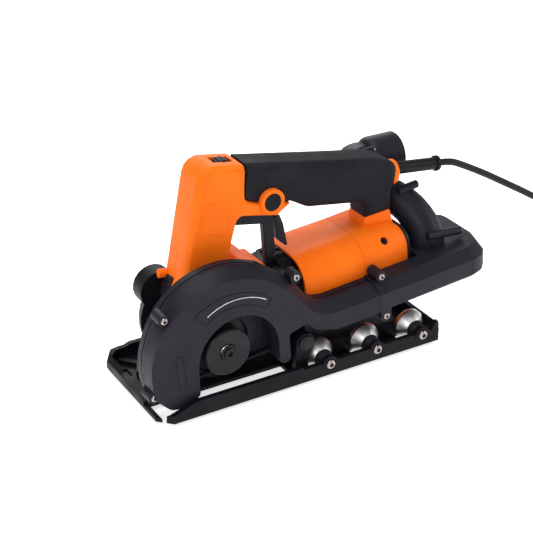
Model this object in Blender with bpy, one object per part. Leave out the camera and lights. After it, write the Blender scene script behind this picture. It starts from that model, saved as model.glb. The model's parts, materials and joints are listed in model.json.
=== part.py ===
"""Wall chaser: a bevel-geared motor unit with a round blade guard, tilting on a rolling base plate.

Sizes are in millimetres and become metres when a mesh is made. X runs along the tool from nose to tail,
Y runs across it from the blade side to the far side, and Z is up, with the floor at Z 0.
The base plate is laid out from its own front near corner. The motor unit is laid out from its tilt pivot,
with U along the motor, Y across and W up, and it leans tail up by TILT.
"""

from math import atan2, ceil, cos, degrees, pi, radians, sin, sqrt, tan

import bmesh
import bpy
from mathutils import Matrix, Vector

MM = 0.001
GAP = 0.3
SAME_POINT = 0.000003
JOIN = "UNION"
CUT = "DIFFERENCE"

# Where the base plate's front near corner stands in the part's own frame.
BASE_AT = (-204.46, -74.25, 4.5)

# Base plate
BASE_LONG = 340.0
BASE_WIDE = 142.0
FLOOR_THICK = 4.0
RAIL_THICK = 5.8
RAIL_HIGH = 18.5
RAIL_LOW = 15.8
RAIL_BOSS = 0.6
RIM_HIGH = 8.0
NEAR_CORNER = 14.0
FAR_CORNER = 10.0
SLOT = (5.0, 161.0, 6.0, 40.3)
SHOE_THICK = 4.2

# Rollers: places along X, axle height, largest radius
ROLLER_X = (198.4, 258.0, 317.8)
ROLLER_AXLE_Z = 13.5
ROLLER_R = 18.0
ROLLER_BORE_R = 4.3
FAR_ROLLER_X = (214.0, 302.0)
FAR_ROLLER_AXLE_Z = 7.5
FAR_ROLLER_R = 12.0
BOLT_R = 4.0
BOLT_HOLE_R = 4.3
BUTTON_HEAD_R = 5.3
NEAR_RIB_Y = (30.0, 33.0)
FAR_RIB_Y = (121.0, 123.5)

# Tilt pivot, in the base plate's layout, and the lean of the motor unit
PIVOT_X = 175.0
PIVOT_Z = 40.0
TILT = radians(4.84)
LUG_R = 11.0
EAR_R = 9.0
NEAR_LUG_Y = (12.0, 19.0)
FAR_LUG_Y = (128.0, 135.2)
KNOB_R = 14.0
KNOB_Y = (135.5, 149.0)

# Blade spindle and motor axis, in the motor unit's layout
SPINDLE_U = -90.0
AXIS_W = 24.0
MOTOR_Y = 86.0

# Guard
GUARD_FACE_R = 83.5
DOME_FROM = 62.0
DOME_TO = 195.0
DOME_POINTS = 13
GUARD_CHAMFER = 8.5
GUARD_FACE_Y = 8.0
GUARD_RIM_Y = 22.0
GUARD_SPLIT_Y = 29.6
GUARD_BACK_Y = 38.9
GUARD_WALL = 3.0
ARCH_U = -80.0
ARCH_W = 17.5
ARCH_R = 46.5
DUCT_BOTTOM_W = 4.4
DUCT_FACE_W = 25.2
DUCT_SEAM_U = 92.0
BOSS_R = 6.5
SKIRT_Y = (36.2, 38.5)

# Tail duct
TAIL_TOP_W = 35.5
TAIL_END_U = 243.0
TAIL_FAR_Y = 108.0
PIPE_FOOT = (190.0, 62.0)
PIPE_R = 21.0
PIPE_END_R = 17.0
PIPE_STUB_R = 23.6
PIPE_WALL = 2.5
PIPE_BOSSES = (
    ((180, 44, 51), (226, 46, 42.6)),
    ((171, 85, 93), (196, 85, 94.5)),
    ((141, 112, 137.5), (158, 112, 137.5)),
)

# Dust port
PORT_FROM = (180.5, 127.0, 118.86)
PORT_TO = (196.0, 127.0, 117.5)
PORT_R = 24.0
PORT_WALL = 3.0

# Gearbox
GEARBOX_R = 38.0
GEARBOX_NEAR_Y = 39.4
GEARBOX_FAR_Y = 107.9
GEARBOX_END_U = 4.5
COVER_R = 52.0
COVER_END_R = 43.0
COVER_END_Y = 131.0
COVER_BOTTOM_W = -9.0
SEAT_R = 19.0
BEARING_R = 15.0
SPINDLE_R = 8.0
SLEEVE_R = 18.0

# Motor
FLANGE_RING_R = 49.0
FLANGE_RING_U = (4.8, 19.7)
FIN_DEEP = 2.0
FINS = 26
MOTOR_HALF_Y = 46.5
MOTOR_HALF_W = 50.0
MOTOR_CORNER = 28.0
MOTOR_WALL = 3.2
MOTOR_U = (20.0, 95.0)
REAR_COVER_U = (95.3, 155.0)
END_CAP_U = (155.3, 160.3)
SHAFT_R = 5.0
BRUSH_U = 125.0
CROWN_TEETH = 16
PINION_TEETH = 8

# Handle
HANDLE_Y = (62.0, 108.0)
GRIP_Y = (65.0, 105.0)
SPLIT_Y = 85.0
COLUMN_ROUND = 8.5
GRIP_ROUND = 8.0
LOCK = (0.6, 146.0)
LOCK_R = 9.5
LOCK_RING_R = 14.0
DIAL = (-42.5, 190.5)
DIAL_R = 9.5
TRIGGER_PIVOT = (12.5, 118.0)
POST_Y = (76.0, 84.0)

# Strain relief, in the motor unit's layout
RELIEF_FROM = (166.0, 85.0, 122.9)
RELIEF_TO = (225.0, 85.0, 111.0)
COLLAR_LONG = 6.9
COLLAR_R = 14.0
COLLAR_DROP = 3.7

# Cord: its route in the base plate's layout, from the relief down to the coil on the floor behind the tool
CORD_R = 4.0
CORD_ROUTE = (
    (390.1, 85, 169.6),
    (404.0, 85, 167.8),
    (418.0, 85, 163.0),
    (451.0, 85, 145.4),
    (482.0, 85, 127.1),
    (533.6, 85, 95.5),
    (575.0, 86, 67.0),
    (612.0, 90, 37.5),
    (640.0, 95, 16.5),
    (662.0, 99.5, 4.2),
    (680.0, 102.2, -0.2),
    (690.3, 103.0, -0.4),
)
COIL_AT = (722.0, 42.5)
COIL_MEAN_R = 49.2
COIL_WIDE = 30.5
COIL_HIGH = 32.6
PLUG_FROM = (755.6, 103.0, 23.7)
PLUG_DROP = radians(10)
PLUG_LONG = 50.0
PLUG_R = 18.5
PLUG_PIN_R = 2.4
PLUG_PIN_LONG = 19.0
PLUG_PIN_APART = 19.0


# ---------------------------------------------------------------- outlines


def arc(u, w, r, start, end, step=12.0):
    """Points of an arc about (u, w), from one angle in degrees to another."""
    count = max(1, ceil(abs(end - start) / step - 0.001))
    angles = [radians(start + (end - start) * k / count) for k in range(count + 1)]
    return [(u + r * cos(a), w + r * sin(a)) for a in angles]


def rounded(corners, step=30.0):
    """A closed outline from corners (u, w, radius), each corner of some radius turned into an arc."""
    out = []
    for k, (u, w, r) in enumerate(corners):
        if r == 0:
            out.append((u, w))
            continue
        here = Vector((u, w))
        before = (Vector(corners[k - 1][:2]) - here).normalized()
        after = (Vector(corners[(k + 1) % len(corners)][:2]) - here).normalized()
        half = before.angle(after) / 2
        centre = here + (before + after).normalized() * (r / sin(half))
        first = here + before * (r / tan(half)) - centre
        last = here + after * (r / tan(half)) - centre
        start = atan2(first.y, first.x)
        turn = (atan2(last.y, last.x) - start + pi) % (2 * pi) - pi
        out += arc(centre.x, centre.y, r, degrees(start), degrees(start + turn), step)
    return out


def shifted(outline, by):
    """The outline moved outwards by a distance, or by one distance for each of its points."""
    count = len(outline)
    area = sum(
        outline[k - 1][0] * outline[k][1] - outline[k][0] * outline[k - 1][1] for k in range(count)
    )
    side = 1 if area > 0 else -1
    moved = []
    for k, (u, w) in enumerate(outline):
        a = Vector((u, w)) - Vector(outline[k - 1])
        b = Vector(outline[(k + 1) % count]) - Vector((u, w))
        a.normalize()
        b.normalize()
        normal = Vector((a.y + b.y, -a.x - b.x)) * side
        normal /= max(0.35, normal.length_squared / 2)
        distance = by[k] if isinstance(by, (list, tuple)) else by
        moved.append((u + normal.x * distance, w + normal.y * distance))
    return moved


def round_square(half_y, half_w, corner, step=18):
    """A section across the motor, as points (Y, W) about its axis."""
    corners = [(-half_y, -half_w), (half_y, -half_w), (half_y, half_w), (-half_y, half_w)]
    outline = rounded([(y, w, corner) for y, w in corners], step)
    return [(MOTOR_Y + y, AXIS_W + w) for y, w in outline]


# ---------------------------------------------------------------- solids as (points, faces)


def loft(rings):
    """A closed solid through rings of equally many points."""
    count = len(rings[0])
    points = [p for ring in rings for p in ring]
    faces = [tuple(range(count))[::-1], tuple(range(len(points) - count, len(points)))]
    for k in range(len(rings) - 1):
        low = k * count
        for i in range(count):
            j = (i + 1) % count
            faces.append((low + i, low + j, low + count + j, low + count + i))
    return points, faces


def across(outline, y):
    return [(u, y, w) for u, w in outline]


def along(section, u):
    return [(u, y, w) for y, w in section]


def plan(outline, z):
    return [(x, y, z) for x, y in outline]


def slab(outline, low, high, place=across):
    return loft([place(outline, low), place(outline, high)])


def block(x, y, z):
    """A box from pairs of limits."""
    return slab([(x[0], y[0]), (x[1], y[0]), (x[1], y[1]), (x[0], y[1])], z[0], z[1], plan)


def turned(profile, start, end=None, segments=24):
    """A solid turned about the line from start towards end, which is along Y when no end is given.

    The profile lists (distance along the line, radius), closed on itself or by the line."""
    start = Vector(start)
    line = (Vector(end) - start).normalized() if end else Vector((0, 1, 0))
    side = line.cross(Vector((0, 0, 1)))
    if side.length < 0.1:
        side = line.cross(Vector((1, 0, 0)))
    side.normalize()
    third = line.cross(side)
    solid = profile[0][1] == 0
    rows = []
    for height, r in profile[1:-1] if solid else profile:
        angles = [2 * pi * k / segments for k in range(segments)]
        rows.append([tuple(start + line * height + (side * cos(a) + third * sin(a)) * r) for a in angles])
    points = [p for row in rows for p in row]
    faces = []
    for n in range(len(rows) - solid):
        low = n * segments
        high = (n + 1) % len(rows) * segments
        for k in range(segments):
            j = (k + 1) % segments
            faces.append((low + k, low + j, high + j, high + k))
    if solid:
        ends = ((profile[0], profile[1], 0), (profile[-1], profile[-2], len(points) - segments))
        for pole, edge, first in ends:
            row = list(range(first, first + segments))
            if pole[0] == edge[0]:
                faces.append(tuple(row))
                continue
            points.append(tuple(start + line * pole[0]))
            for k in range(segments):
                faces.append((row[k], row[(k + 1) % segments], len(points) - 1))
    return points, faces


def rod(start, end, r, segments=20):
    length = (Vector(end) - Vector(start)).length
    return turned([(0, 0), (0, r), (length, r), (length, 0)], start, end, segments)


def pin(u, w, y0, y1, r, segments=20):
    """A rod along Y."""
    return rod((u, y0, w), (u, y1, w), r, segments)


def ring(start, end, inner, outer, segments=24):
    length = (Vector(end) - Vector(start)).length
    profile = [(0, inner), (0, outer), (length, outer), (length, inner)]
    return turned(profile, start, end, segments)


def toothed(centre_a, centre_b, teeth, root, tip):
    """An outline of straight-flanked teeth."""
    outline = []
    pitch = 2 * pi / teeth
    for k in range(teeth):
        for share, r in ((-0.32, root), (-0.14, tip), (0.14, tip), (0.32, root)):
            a = (k + share) * pitch
            outline.append((centre_a + r * cos(a), centre_b + r * sin(a)))
    return outline


def smooth_line(points, steps):
    """Points on one smooth curve through the given points."""
    points = [Vector(p) for p in points]
    ends = [points[0] * 2 - points[1]] + points + [points[-1] * 2 - points[-2]]
    out = []
    for k in range(1, len(ends) - 2):
        p0, p1, p2, p3 = ends[k - 1 : k + 3]
        for n in range(steps):
            t = n / steps
            curve = p1 * 2 + (p2 - p0) * t
            curve += (p0 * 2 - p1 * 5 + p2 * 4 - p3) * t**2
            curve += (p1 * 3 - p0 - p2 * 3 + p3) * t**3
            out.append(curve / 2)
    return out + [points[-1]]


def swept(line, start_r, end_r, segments=14):
    """A solid rod along a line of points, thinner or thicker at its end, and square to its ends."""
    side = None
    rings = []
    for k, p in enumerate(line):
        r = start_r + (end_r - start_r) * k / (len(line) - 1)
        ahead = (line[min(k + 1, len(line) - 1)] - line[max(k - 1, 0)]).normalized()
        if side is None:
            side = ahead.cross(Vector((0, 0, 1) if abs(ahead.z) < 0.9 else (1, 0, 0)))
        side = (side - ahead * side.dot(ahead)).normalized()
        up = ahead.cross(side)
        angles = [2 * pi * n / segments for n in range(segments)]
        rings.append([tuple(p + (side * cos(a) + up * sin(a)) * r) for a in angles])
    return loft(rings)


# ---------------------------------------------------------------- objects


def empty(name, at, parent=None, lean=0.0):
    frame = bpy.data.objects.new(name, None)
    bpy.context.scene.collection.objects.link(frame)
    frame.parent = parent
    frame.location = Vector(at) * MM
    frame.rotation_euler = (0, -lean, 0)
    return frame


def paint(name, colour, roughness, metallic=0.0):
    material = bpy.data.materials.new(name)
    material.use_nodes = True
    shader = material.node_tree.nodes["Principled BSDF"]
    shader.inputs["Base Color"].default_value = (*colour, 1)
    shader.inputs["Roughness"].default_value = roughness
    shader.inputs["Metallic"].default_value = metallic
    return material


def mesh_object(name, solid):
    points, faces = solid
    mesh = bpy.data.meshes.new(name)
    mesh.from_pydata([Vector(p) * MM for p in points], [], faces)
    work = bmesh.new()
    work.from_mesh(mesh)
    bmesh.ops.recalc_face_normals(work, faces=work.faces)
    work.to_mesh(mesh)
    work.free()
    made = bpy.data.objects.new(name, mesh)
    bpy.context.scene.collection.objects.link(made)
    return made


def combine(target, solid, operation):
    """Cuts a solid out of the target, or joins it on."""
    tool = mesh_object("tool", solid)
    step = target.modifiers.new("step", "BOOLEAN")
    step.object = tool
    step.operation = operation
    shown = target.evaluated_get(bpy.context.evaluated_depsgraph_get())
    mesh = bpy.data.meshes.new_from_object(shown)
    work = bmesh.new()
    work.from_mesh(mesh)
    bmesh.ops.remove_doubles(work, verts=work.verts, dist=SAME_POINT)
    bmesh.ops.dissolve_degenerate(work, edges=work.edges, dist=SAME_POINT)
    work.to_mesh(mesh)
    work.free()
    target.modifiers.remove(step)
    target.data = mesh
    bpy.data.objects.remove(tool)


def part(name, solid, material, parent, *steps, axis=None):
    """One named piece, after steps that join or cut solids. With an axis given, its origin is put there."""
    made = mesh_object(name, solid)
    for operation, extras in steps:
        for extra in extras:
            combine(made, extra, operation)
    made.data.name = name
    made.data.materials.clear()
    made.data.materials.append(material)
    made.data.shade_smooth()
    made.data.set_sharp_from_angle(angle=radians(32))
    made.parent = parent
    if axis:
        made.data.transform(Matrix.Translation(-Vector(axis) * MM))
        made.location = Vector(axis) * MM
    return made


# ---------------------------------------------------------------- base plate and rollers


def base_outline():
    far = BASE_WIDE
    return [
        (NEAR_CORNER, 0),
        (BASE_LONG, 0),
        (BASE_LONG, far),
        (FAR_CORNER, far),
        (0, far - FAR_CORNER),
        (0, NEAR_CORNER),
    ]


def lug(y, spread=0.0):
    """An upright ear for the tilt pivot."""
    left = PIVOT_X - LUG_R
    foot = [(left - 1, 0.5), (PIVOT_X + 3, 0.5), (PIVOT_X + 4 + spread, 22)]
    outline = foot + arc(PIVOT_X, PIVOT_Z, LUG_R, -15, 180, 15)
    return slab(outline, y[0], y[1])


def make_base(frame, cast):
    outline = base_outline()
    right_wall = rounded(
        [(328, 4, 0), (336, 4, 0), (339.8, 10, 0), (338.8, 24.2, 0), (336, 24.2, 0), (329, 14, 0)]
    )
    joins = [slab(right_wall, 0.2, RAIL_THICK - 0.2)]
    joins.append(block((334.5, BASE_LONG - 0.2), (0.5, BASE_WIDE - 0.5), (3, 21)))
    joins += [pin(x, ROLLER_AXLE_Z, -RAIL_BOSS, RAIL_THICK - 0.3, 9.0, 18) for x in ROLLER_X]
    joins.append(block((186, 335), NEAR_RIB_Y, (3, 20)))
    joins.append(block((186, 335), FAR_RIB_Y, (3, 14)))
    joins += [lug(NEAR_LUG_Y), lug(FAR_LUG_Y, 4.0)]
    joins.append(slab([(18, 96), (24, 92), (46, 131), (40, 136.5)], 3, 9.4, plan))
    joins.append(slab([(16, 133), (12, 128), (44, 92), (48, 97)], 3, 8.0, plan))
    inner = shifted(outline, -RAIL_THICK)
    cuts = [slab(inner, FLOOR_THICK, 30, plan)]
    cuts.append(block((-1, 10), (RAIL_THICK, 42), (FLOOR_THICK, 30)))
    cuts.append(block((-1, 10), (41, 100), (RIM_HIGH, 30)))
    far_top = [(-1, 8), (1.5, 8), (7, 14.5), (18, 16), (25, 16), (31, 18.6), (31, 30), (-1, 30)]
    near_top = [(-1, 8), (12, 8.5), (22, 12), (36, 17), (44, 18.6), (44, 30), (-1, 30)]
    cuts.append(slab(far_top, 99, BASE_WIDE + 1))
    cuts.append(slab(near_top, -1, RAIL_THICK + 0.2))
    cuts.append(block((166, 345), (-1, BASE_WIDE + 1), (RAIL_LOW, 30)))
    windows = [
        block(SLOT[:2], SLOT[2:], (-1, 30)),
        block((3.5, 15), (98, 114), (2, 10)),
    ]
    for x in ROLLER_X:
        windows.append(block((x - 19, x + 19), (6.2, 29.8), (-1, 21.9)))
    for x in FAR_ROLLER_X:
        windows.append(block((x - 13, x + 13), (123.8, 135.8), (-1, 8)))
    holes = []
    for x in ROLLER_X:
        holes.append(pin(x, ROLLER_AXLE_Z, -2, RAIL_THICK + 2, BOLT_HOLE_R, 14))
        holes.append(pin(x, ROLLER_AXLE_Z, NEAR_RIB_Y[0] - 2, NEAR_RIB_Y[1] + 2, BOLT_HOLE_R, 14))
    holes.append(pin(PIVOT_X, PIVOT_Z, 10, 22, BOLT_HOLE_R, 12))
    holes.append(pin(PIVOT_X, PIVOT_Z, 126, 137, BOLT_HOLE_R, 12))
    plate = slab(outline, 0, RAIL_HIGH, plan)
    part("base_plate", plate, cast, frame, (CUT, cuts), (JOIN, joins), (CUT, holes + windows))


def make_glide_shoe(frame, nylon):
    low = -GAP - SHOE_THICK
    corners = [(12, -GAP, 0), (12, -2.2, 0), (15, low, 1), (49, low, 1), (52, -2.2, 0), (52, -GAP, 0)]
    section = rounded(corners)
    part("front_glide_shoe", slab(section, 58, 130), nylon, frame)


def make_near_roller(number, x, frame, steel, bolt_steel):
    """A bevelled steel roller with a narrow nose, on its own axle bolt."""
    centre = (x, 0, ROLLER_AXLE_Z)
    profile = [(7.2, ROLLER_BORE_R), (7.2, 6.5), (13.5, 10.2), (14.2, 10.8), (24.0, ROLLER_R)]
    profile += [(28.4, ROLLER_R), (29.4, ROLLER_R - 1), (29.4, ROLLER_BORE_R)]
    part(f"near_roller_{number}", turned(profile, centre, segments=22), steel, frame, axis=centre)
    seat = -RAIL_BOSS - GAP
    bolt = [(seat - 2.6, 0), (seat - 2.6, 3.4), (seat - 1.6, BUTTON_HEAD_R - 0.6), (seat, BUTTON_HEAD_R)]
    bolt += [(seat, BOLT_R), (36, BOLT_R), (36, 0)]
    socket = slab(hexagon(x, ROLLER_AXLE_Z, 2.6), seat - 4, seat - 1.0)
    head = turned(bolt, centre, segments=12)
    part(f"near_roller_bolt_{number}", head, bolt_steel, frame, (CUT, [socket]))


def hexagon(u, w, r):
    return arc(u, w, r, 0, 300, 60)


def make_far_roller(number, x, frame, steel):
    """A plain roller on its own short pin, held between the far rail and the far rib."""
    centre = (x, 0, FAR_ROLLER_AXLE_Z)
    profile = [(124.2, 0), (124.2, FAR_ROLLER_R - 0.8), (125.0, FAR_ROLLER_R), (134.4, FAR_ROLLER_R)]
    profile += [(135.2, FAR_ROLLER_R - 0.8), (135.2, 0)]
    part(f"far_roller_{number}", turned(profile, centre, segments=18), steel, frame, axis=centre)


def make_pivot(frame, hub, steel, plastic):
    """The near pivot bolt, and the clamp knob that is the far one."""
    near = [(8.6, 0), (8.6, 5.2), (9.2, 5.2), (9.2, 7.2), (10.0, 8.4), (11.7, 8.4)]
    near += [(11.7, BOLT_R), (33, BOLT_R), (33, 0)]
    centre = (PIVOT_X, 0, PIVOT_Z)
    part("pivot_bolt_near", turned(near, centre, segments=16), steel, frame)
    lobes = toothed(0, 0, 8, KNOB_R - 2, KNOB_R)
    stem = turned([(112.5, 0), (112.5, BOLT_R), (136, BOLT_R), (136, 0)], (0, 0, 0), segments=12)
    part("depth_clamp_knob", slab(lobes, *KNOB_Y), plastic, hub, (JOIN, [stem]))


# ---------------------------------------------------------------- guard and ducts


def guard_outline(end, arched=True):
    """The guard's face outline and how far each point moves out to reach the rim."""
    duct = [(end, DUCT_FACE_W)]
    neck = [(end, DUCT_FACE_W, 0), (17.8, DUCT_FACE_W, 36), (-24.2, 84.2, 84), (-60, 103, 0)]
    curve = rounded(neck)[1:-1]
    dome, dome_reach = [], []
    for k in range(DOME_POINTS + 1):
        angle = DOME_FROM + (DOME_TO - DOME_FROM) * k / DOME_POINTS
        share = min(1.0, max(0.0, (angle - 115) / 45))
        grown = share * share * (3 - 2 * share)
        dome += arc(SPINDLE_U, AXIS_W, GUARD_FACE_R + 5.0 * grown, angle, angle)[:1]
        dome_reach.append(1 - 0.93 * grown)
    foot = [(-90, 24, 0), (-171.5, -3, 0), (-161, -16, 12), (-145, -17, 8), (-128, -11, 5.5)]
    toe = rounded(foot + [(-126.5, 17, 0)])[2:-1]
    outer = duct + curve + dome
    if arched:
        inner = arc(ARCH_U, ARCH_W, ARCH_R, 180, 0)
    else:
        inner = [(-126.5, -8), (-33.5, -8)]
    leg = rounded(
        [
            (-33.5, 17, 0),
            (-33.5, -11.5, 5.5),
            (-20.8, -11.5, 5.5),
            (-20.8, 21, 5),
            (1.5, 25.5, 5),
            (12, 13.5, 10),
            (38, DUCT_BOTTOM_W, 20),
            (end, DUCT_BOTTOM_W, 0),
        ]
    )[1:]
    outline = outer + toe + inner + leg
    reach = [1.0] * (len(outer) - len(dome)) + dome_reach + [0.07] * 3
    reach += [0.0] * (len(outline) - len(reach))
    return outline, reach


def past_seam():
    """What the guard is cut off with, square to the tail duct."""
    return block((DUCT_SEAM_U, DUCT_SEAM_U + 30), (0, 60), (-20, 60))


def guard_rings(end, inset, levels, arched=True):
    """Rings of the guard's shape at (Y, share of the chamfer, further inset)."""
    outline, reach = guard_outline(end, arched)
    rings = []
    for y, share, extra in levels:
        out = shifted(outline, [r * GUARD_CHAMFER * share for r in reach])
        rings.append(across(shifted(out, -inset - extra) if inset + extra else out, y))
    return rings


def make_guard(frame, plastic):
    near_levels = ((GUARD_FACE_Y, 0, 0), (GUARD_RIM_Y, 1, 0), (GUARD_SPLIT_Y, 1, 0))
    shell = loft(guard_rings(DUCT_SEAM_U, 0, near_levels))
    hollow_levels = ((GUARD_FACE_Y + GUARD_WALL, 0, 0), (GUARD_RIM_Y, 1, 0), (GUARD_SPLIT_Y + 1, 1, 0))
    hollow = loft(guard_rings(DUCT_SEAM_U + 6, GUARD_WALL, hollow_levels))
    bosses = [
        pin(-155.6, 86.6, 12, GUARD_SPLIT_Y, BOSS_R, 12),
        pin(-176.4, 4.0, 12, GUARD_SPLIT_Y, BOSS_R, 12),
        pin(-3.5, 79.0, 16, GUARD_SPLIT_Y, BOSS_R, 12),
    ]
    part("guard_near_cover", shell, plastic, frame, (JOIN, bosses), (CUT, [hollow, past_seam()]))
    back_levels = ((GUARD_SPLIT_Y + GAP, 1, 1.3), (31.2, 1, 1.3), (31.3, 1, 0), (GUARD_BACK_Y, 1, 0))
    back = loft(guard_rings(DUCT_SEAM_U, 0, back_levels, False))
    inner_levels = ((GUARD_SPLIT_Y - 1, 1, 1.3), (35.4, 1, 1.3))
    inner = loft(guard_rings(DUCT_SEAM_U + 6, GUARD_WALL, inner_levels, False))
    ridge = ring((SPINDLE_U, 32, AXIS_W), (SPINDLE_U, 36.5, AXIS_W), 33, 38, 24)
    hub_hole = pin(SPINDLE_U, AXIS_W, 20, 45, 16, 18)
    ring_start = (FLANGE_RING_U[0] - 2, MOTOR_Y, AXIS_W)
    ring_relief = rod(ring_start, (FLANGE_RING_U[1] + 2, MOTOR_Y, AXIS_W), FLANGE_RING_R + 0.5, 24)
    holes = [hub_hole, ring_relief, past_seam()]
    skirt = block((14, DUCT_SEAM_U - 0.5), SKIRT_Y, (-13, DUCT_BOTTOM_W + 2))
    part("guard_back_plate", back, plastic, frame, (CUT, [inner]), (JOIN, [ridge, skirt]), (CUT, holes))


def tail_plan(end_inset, near_inset, grow=0.0, start=DUCT_SEAM_U + GAP):
    """The tail duct seen from above: a near channel that widens into a box behind the motor."""
    end = TAIL_END_U - end_inset
    near = GUARD_FACE_Y + near_inset
    far = TAIL_FAR_Y - end_inset
    outline = rounded(
        [
            (start, near, 0),
            (end, near, 26),
            (end, far, 14),
            (163.5, far, 4),
            (163.5, GUARD_BACK_Y, 0),
            (start, GUARD_BACK_Y, 0),
        ]
    )
    return shifted(outline, grow) if grow else outline


def make_tail_duct(frame, plastic):
    shape = loft(
        [
            plan(tail_plan(2, 1.5), DUCT_BOTTOM_W),
            plan(tail_plan(0, 0), DUCT_BOTTOM_W + 3),
            plan(tail_plan(0, 0), DUCT_FACE_W),
            plan(tail_plan(3, 12), TAIL_TOP_W),
        ]
    )
    open_start = DUCT_SEAM_U - 8
    hollow = loft(
        [
            plan(tail_plan(2, 1.5, -GUARD_WALL, open_start), DUCT_BOTTOM_W + 3),
            plan(tail_plan(0, 0, -GUARD_WALL, open_start), DUCT_FACE_W - 1),
            plan(tail_plan(3, 11, -GUARD_WALL, open_start), TAIL_TOP_W - 3),
        ]
    )
    bosses = [
        pin(101.5, 40.2, 18, 37, BOSS_R, 12),
        pin(99.5, -3.0, GUARD_FACE_Y, 17, BOSS_R, 12),
        block((93, 106), (GUARD_FACE_Y, 17), (-3, 8)),
        block((DUCT_SEAM_U + GAP, 163), SKIRT_Y, (-9, DUCT_BOTTOM_W + 2)),
    ]
    pipe_hole = rod((*PIPE_FOOT, 28), (*PIPE_FOOT, 40), PIPE_R - PIPE_WALL, 16)
    part("tail_duct", shape, plastic, frame, (JOIN, bosses), (CUT, [hollow, pipe_hole]))


def make_dust_pipe(frame, plastic):
    """A pipe from the tail box over to the far side, with a round chamber that turns it rearwards."""
    foot = Vector((*PIPE_FOOT, TAIL_TOP_W + GAP))
    bend = [(190, 62, 42), (189, 68, 54), (184, 82, 69), (175, 99, 80), (162, 115, 88)]
    line = [foot] + smooth_line(bend + [(154, 122, 98), (149, 128, 112)], 2)
    bore_line = [foot - Vector((0, 0, 3))] + line
    chamber = (148.0, 127.0, 118.0)
    port = (Vector(PORT_TO) - Vector(PORT_FROM)).normalized()
    stub_from = Vector(PORT_FROM) - port * 18
    stub = rod(stub_from, Vector(PORT_FROM) - port * GAP, PIPE_STUB_R, 18)
    stub_bore = rod(stub_from, Vector(PORT_FROM) + port * 3, PIPE_STUB_R - PIPE_WALL, 16)
    ball = [(-21.6, 0), (-21.6, 11), (-7, 23), (7, 23), (19, 16.2), (25, 0)]
    hollow_ball = [(-19, 0), (-19, 10), (-6.3, 20.6), (6.3, 20.6), (17, 14.6), (22.5, 0)]
    joins = [turned(ball, chamber, segments=16), stub]
    joins += [rod(low, high, 4.6, 12) for low, high in PIPE_BOSSES]
    bore = swept(bore_line, PIPE_R - PIPE_WALL, PIPE_END_R - PIPE_WALL)
    cuts = [bore, turned(hollow_ball, chamber, segments=14), stub_bore]
    part("dust_pipe", swept(line, PIPE_R, PIPE_END_R), plastic, frame, (JOIN, joins), (CUT, cuts))


def make_dust_port(frame, plastic):
    inner = PORT_R - PORT_WALL
    long = (Vector(PORT_TO) - Vector(PORT_FROM)).length
    profile = [(0, inner), (0, PORT_R), (long - 1, PORT_R), (long, PORT_R - 0.8), (long, inner)]
    part("dust_port", turned(profile, PORT_FROM, PORT_TO, 24), plastic, frame)


# ---------------------------------------------------------------- gearbox


def make_gearbox(frame, cast, orange):
    centre = (SPINDLE_U, AXIS_W)
    outline = [(GEARBOX_END_U, AXIS_W - GEARBOX_R), (GEARBOX_END_U, 66), (-5, 66), (-5, 50)]
    outline += arc(*centre, GEARBOX_R, 43.2, 270)
    ears = [pin(0, 0, 19.3, 39.6, EAR_R, 14), pin(0, 0, 107, FAR_LUG_Y[0] - GAP, EAR_R, 14)]
    seat = ring((SPINDLE_U, 39.6, AXIS_W), (SPINDLE_U, 56, AXIS_W), BEARING_R + GAP, SEAT_R, 18)
    chamber = [(-26, -10), (-26, 46)] + arc(*centre, GEARBOX_R - 4, 40, 270)
    holes = [
        pin(*centre, 35, 45, SPINDLE_R + 1, 14),
        rod((-28, MOTOR_Y, AXIS_W), (6, MOTOR_Y, AXIS_W), BEARING_R + GAP, 16),
        pin(0, 0, 15, 35, BOLT_HOLE_R, 12),
        pin(0, 0, 110, 130, BOLT_HOLE_R, 12),
    ]
    body = slab(outline, GEARBOX_NEAR_Y, GEARBOX_FAR_Y)
    hollow = slab(chamber, 43.4, 112)
    part("gearbox_housing", body, cast, frame, (CUT, [hollow]), (JOIN, ears + [seat]), (CUT, holes))
    make_far_cover(frame, cast)
    lid = [(-12, 50.3, 0), (-12, 76, 3), (-23, 77, 4), (-27, 87, 3), (-39, 88, 3), (-49, 81, 3)]
    top = rounded(lid + [(-61.3, 50.3, 0)])
    part("gearbox_top_cover", slab(top, 64, HANDLE_Y[1] - 1), orange, frame)


def make_far_cover(frame, cast):
    """A bowl over the far end of the gearbox, cut flat below so that it clears the base plate."""
    start = GEARBOX_FAR_Y + GAP
    base = (SPINDLE_U, start, AXIS_W)
    deep = COVER_END_Y - start
    outer = [(0, 0), (0, COVER_R), (9, COVER_R - 2), (deep - 4, COVER_END_R + 2)]
    outer += [(deep, COVER_END_R - 3), (deep, 0)]
    inner = [(-2, 0), (-2, GEARBOX_R - 8), (8, GEARBOX_R - 8), (8, 0)]
    keep_above = block((-200, 40), (100, 140), (-80, COVER_BOTTOM_W))
    ear_relief = block((-27, 40), (100, 140), (-40, 20))
    lobe = pin(-115.6, 60.6, start, start + 19, 22, 20)
    bore = pin(SPINDLE_U, AXIS_W, start + 2, start + 13, BEARING_R + GAP, 16)
    hollow = turned(inner, base, segments=20)
    cover = turned(outer, base, segments=30)
    cuts = [hollow, bore, keep_above, ear_relief]
    part("gearbox_far_cover", cover, cast, frame, (JOIN, [lobe]), (CUT, cuts))


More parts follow.
